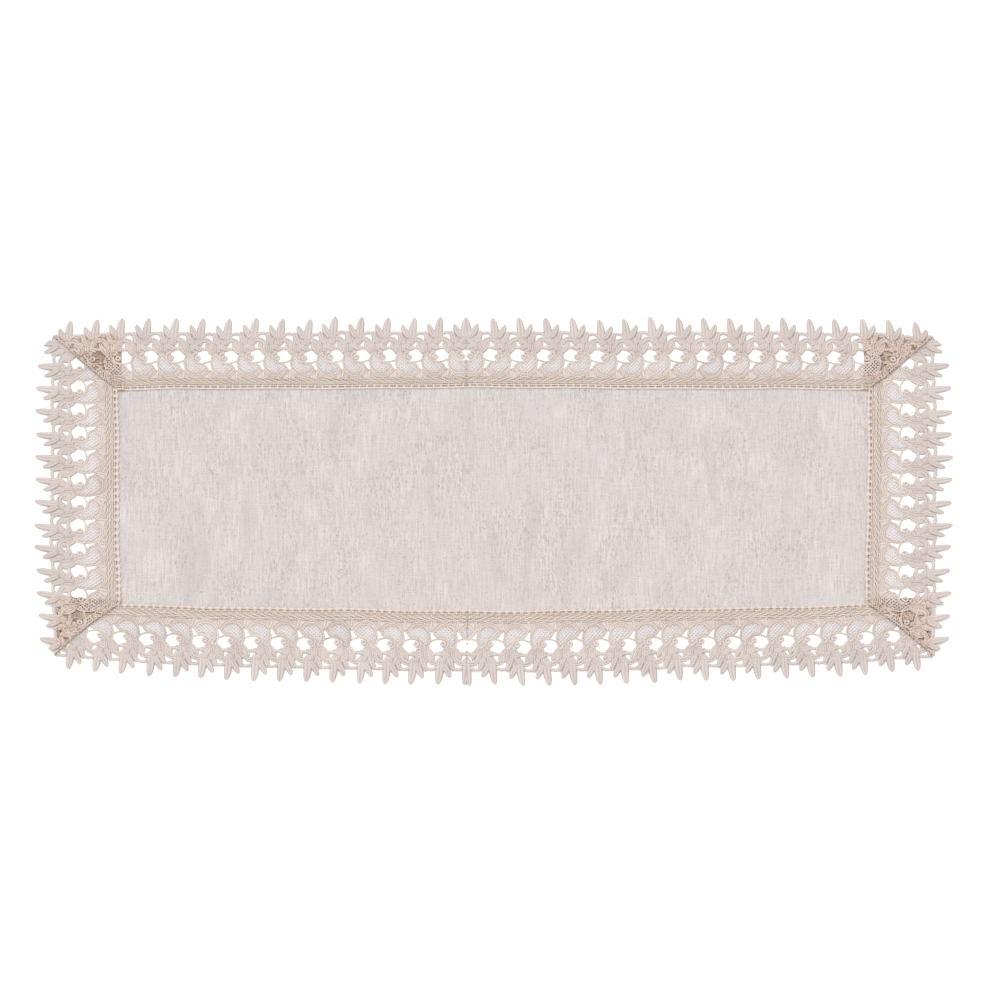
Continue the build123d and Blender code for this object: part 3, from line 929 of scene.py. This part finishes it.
# ------------------------------------------------------------------ the cloth
def fold_under(place, half):
    """Takes a length along the flat cloth to where it lies once its edge is turned under."""
    size = np.abs(place)
    straight = half - BEND
    turn = np.clip((size - straight) / BEND, 0, math.pi)
    back = np.maximum(size - straight - math.pi * BEND, 0)
    out = np.minimum(size, straight) + BEND * np.sin(turn) - back
    return np.sign(place) * out, -BEND * (1 - np.cos(turn))


def cloth_lines(half):
    """Grid lines across the flat cloth: even in the middle, close together round the fold."""
    straight = half - BEND
    count = int(2 * (straight - 1) / CLOTH_STEP)
    middle = np.linspace(-(straight - 1), straight - 1, count)
    turn = straight + BEND * np.linspace(0, math.pi, 5)
    back = straight + math.pi * BEND + np.linspace(1.0, HEM - 0.5, 4)
    outer = np.concatenate([turn, back])
    return np.concatenate([-outer[::-1], middle, outer])


def centre_cloth():
    """The woven panel in one continuous sheet, with its hem turned under and its corners cut away."""
    across, along = cloth_lines(HEM_X), cloth_lines(HEM_Y)
    grid_x, grid_y = np.meshgrid(across, along, indexing="ij")
    x, drop_x = fold_under(grid_x.ravel(), HEM_X)
    y, drop_y = fold_under(grid_y.ravel(), HEM_Y)
    inner = np.maximum(np.abs(x) - IN_X, np.abs(y) - IN_Y)
    top = CLOTH / 2 + CLOTH * smooth(-5, 0.5, inner)
    gathers = np.sin(x / 2.3 + 0.4 * np.sin(x / 7)) * np.sin(y / 2.6 + 0.5 * np.sin(y / 9))
    pucker = 0.22 * np.exp(-((inner + 4) / 5) ** 2) * (1 + gathers)
    z = top + drop_x + drop_y + pucker * (drop_x + drop_y > -0.01)
    rows, columns = grid_x.shape
    index = np.arange(rows * columns).reshape(rows, columns)
    quads = np.stack([index[:-1, :-1], index[1:, :-1], index[1:, 1:], index[:-1, 1:]], axis=-1).reshape(-1, 4)
    corner = (np.abs(grid_x.ravel()) > HEM_X + 0.6) & (np.abs(grid_y.ravel()) > HEM_Y + 0.6)
    quads = quads[~corner[quads].any(1)]
    used, renumbered = np.unique(quads, return_inverse=True)
    points = (warp(np.column_stack([x, y, z])) * MM)[used]
    flat = np.column_stack([grid_x.ravel(), grid_y.ravel(), np.zeros(rows * columns)])[used]
    arrays = points, flat, np.zeros(len(used)), renumbered.reshape(-1, 4), np.zeros((0, 3), int)
    made = build("centre_panel_cloth", arrays)
    made.data.polygons.foreach_set("use_smooth", np.ones(len(made.data.polygons), bool))
    solid = made.modifiers.new("thickness", "SOLIDIFY")
    solid.thickness = THICK * MM
    solid.offset = 0.0
    return dress(made, ["centre_panel"], LINEN)


cloth = centre_cloth()

# ------------------------------------------------------------------ floor, light and camera
FLOOR_SIZE = 8.0
bpy.ops.mesh.primitive_plane_add(size=FLOOR_SIZE, location=(0, 0, 0))
floor = bpy.context.object
floor.name = "floor"
floor_look, floor_tree, floor_shader = material("pale_floor")
floor_shader.inputs["Base Color"].default_value = (0.96, 0.96, 0.96, 1)
floor_shader.inputs["Roughness"].default_value = 0.9
floor_shader.inputs["Specular IOR Level"].default_value = 0.1
floor_shader.inputs["Emission Color"].default_value = (1, 1, 1, 1)
floor_shader.inputs["Emission Strength"].default_value = 0.22
floor.data.materials.append(floor_look)

world = bpy.data.worlds.new("studio")
bpy.context.scene.world = world
world.use_nodes = True
world.node_tree.nodes["Background"].inputs["Color"].default_value = (1.0, 1.0, 1.0, 1)
world.node_tree.nodes["Background"].inputs["Strength"].default_value = 0.96

key = bpy.data.lights.new("softbox", "SUN")
key.energy = 0.85
key.angle = math.radians(25)
key_at = bpy.data.objects.new("softbox", key)
key_at.rotation_euler = (math.radians(-28), math.radians(-30), 0)
bpy.context.scene.collection.objects.link(key_at)

VIEW_ELEVATION = math.radians(59.5)
VIEW_WIDTH = 0.928        # how much of the table the picture is wide, in metres
AIM = (0.0065, 0.0016, 0.0)
CAMERA_FAR = 2.5
lens = bpy.data.cameras.new("view")
lens.type = "ORTHO"
lens.ortho_scale = VIEW_WIDTH
camera = bpy.data.objects.new("view", lens)
back, up = CAMERA_FAR * math.cos(VIEW_ELEVATION), CAMERA_FAR * math.sin(VIEW_ELEVATION)
camera.location = (AIM[0], AIM[1] - back, AIM[2] + up)
camera.rotation_euler = (math.pi / 2 - VIEW_ELEVATION, 0, 0)
bpy.context.scene.collection.objects.link(camera)
bpy.context.scene.camera = camera
bpy.context.scene.view_settings.view_transform = "Standard"
